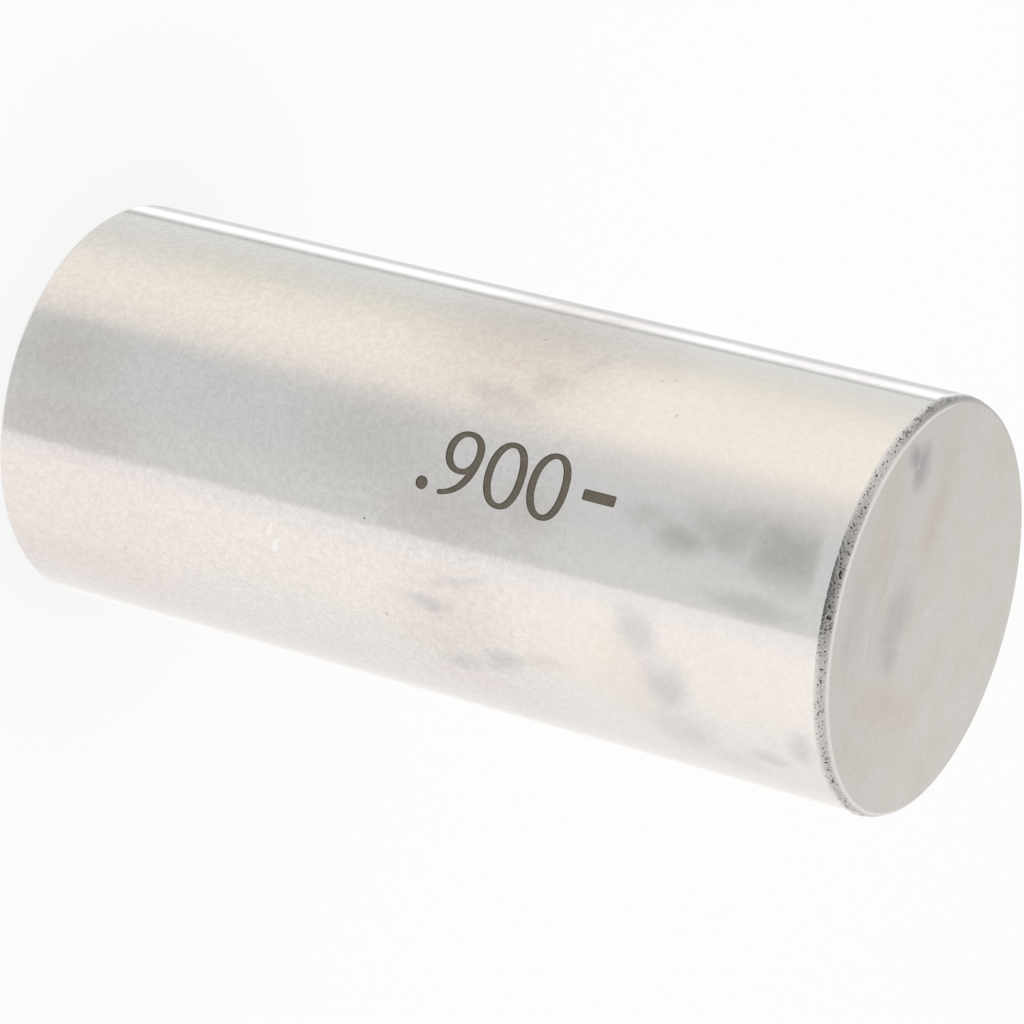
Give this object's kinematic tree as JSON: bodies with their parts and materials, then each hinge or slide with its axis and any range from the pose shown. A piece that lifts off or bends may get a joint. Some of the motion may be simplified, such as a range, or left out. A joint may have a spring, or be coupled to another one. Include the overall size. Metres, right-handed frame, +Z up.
{
  "type": "pin gauge",
  "caption": "Plain cylindrical steel pin gauge, ground to a stated diameter, with a short rounded lead at its go end.",
  "frame": {"origin": "centre of the plain foot face, on the surface the pin stands on", "axes": "+Z up the pin's axis, towards the end with the rounded lead; the etched size number faces -Y"},
  "size_m": [0.0228, 0.0228, 0.0524],
  "materials": {
    "ground_steel": "satin centreless-ground tool steel, light handling stains, size number etched near the middle"
  },
  "bodies": {
    "root": {"gauge_pin": "ground_steel"}
  },
  "joints": []
}
